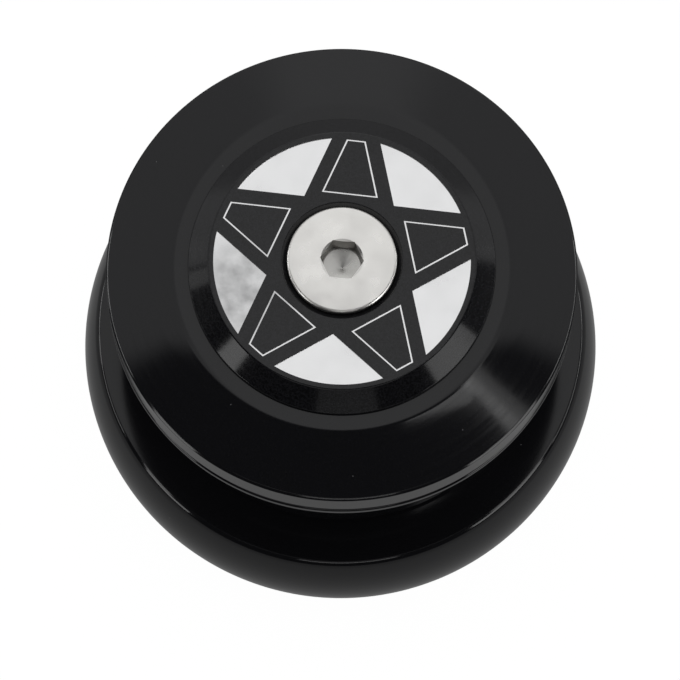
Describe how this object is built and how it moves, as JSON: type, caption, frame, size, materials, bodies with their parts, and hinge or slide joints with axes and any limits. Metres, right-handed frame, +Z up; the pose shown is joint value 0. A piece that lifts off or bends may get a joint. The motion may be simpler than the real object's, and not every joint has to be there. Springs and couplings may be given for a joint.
{
  "type": "bicycle headset",
  "caption": "Threadless bicycle headset: starred top cap and bolt, low conical cover, pressed upper cup and bulged external lower cup, with sealed bearings between frame and fork.",
  "frame": {"origin": "centre of the crown race's bottom face, where the stack stands", "axes": "+Z up along the steering axis, towards the top cap; +X to the right in the picture"},
  "size_m": [0.0572, 0.0572, 0.0402],
  "materials": {
    "black_anodised": "satin",
    "cap_anodised": "satin",
    "bolt_steel": "satin",
    "bare_aluminium": "satin",
    "zinc_steel": "satin",
    "bearing_steel": "polished",
    "ball_steel": "polished",
    "rubber": "matte",
    "seal_rubber": "matte",
    "nylon": "matte"
  },
  "bodies": {
    "cups": {"upper_cup": "black_anodised", "lower_cup": "black_anodised", "upper_bearing_outer_race": "bearing_steel", "upper_bearing_top_seal": "seal_rubber", "upper_bearing_bottom_seal": "seal_rubber", "lower_bearing_outer_race": "bearing_steel", "lower_bearing_top_seal": "seal_rubber", "lower_bearing_bottom_seal": "seal_rubber"},
    "steering_top": {"dust_cover": "black_anodised", "cover_seal": "rubber", "steerer_o_ring": "rubber", "compression_ring": "bare_aluminium", "upper_bearing_inner_race": "bearing_steel", "top_cap": "cap_anodised"},
    "upper_ball_set": {"upper_bearing_balls": "ball_steel", "upper_bearing_cage": "nylon"},
    "steering_bottom": {"crown_race": "black_anodised", "crown_race_seal": "rubber", "lower_bearing_inner_race": "bearing_steel"},
    "lower_ball_set": {"lower_bearing_balls": "ball_steel", "lower_bearing_cage": "nylon"},
    "cap_bolt": {"top_cap_bolt": "bolt_steel"},
    "star_nut": {"star_nut_barrel": "zinc_steel", "star_nut_upper_star": "zinc_steel", "star_nut_lower_star": "zinc_steel"}
  },
  "joints": [
    {"name": "upper_steering_turn", "type": "hinge", "parent": "cups", "child": "steering_top", "pos_m": [0, 0, 0], "axis": [0, 0, 1], "continuous": true},
    {"name": "upper_balls_turn", "type": "hinge", "parent": "cups", "child": "upper_ball_set", "pos_m": [0, 0, 0], "axis": [0, 0, 1], "continuous": true},
    {"name": "lower_steering_turn", "type": "hinge", "parent": "cups", "child": "steering_bottom", "pos_m": [0, 0, 0], "axis": [0, 0, 1], "continuous": true},
    {"name": "lower_balls_turn", "type": "hinge", "parent": "cups", "child": "lower_ball_set", "pos_m": [0, 0, 0], "axis": [0, 0, 1], "continuous": true},
    {"name": "cap_bolt_turn", "type": "hinge", "parent": "steering_top", "child": "cap_bolt", "pos_m": [0, 0, 0], "axis": [0, 0, 1], "continuous": true},
    {"name": "star_nut_travel", "type": "slide", "parent": "steering_top", "child": "star_nut", "axis": [0, 0, 1], "range_m": [-0.003, 0.003]}
  ],
  "couplings": [
    {"joint": "upper_balls_turn", "follows": "upper_steering_turn", "ratio": 0.461},
    {"joint": "lower_balls_turn", "follows": "lower_steering_turn", "ratio": 0.4697},
    {"joint": "cap_bolt_turn", "follows": "star_nut_travel", "rad_per_m": -6283.2}
  ]
}
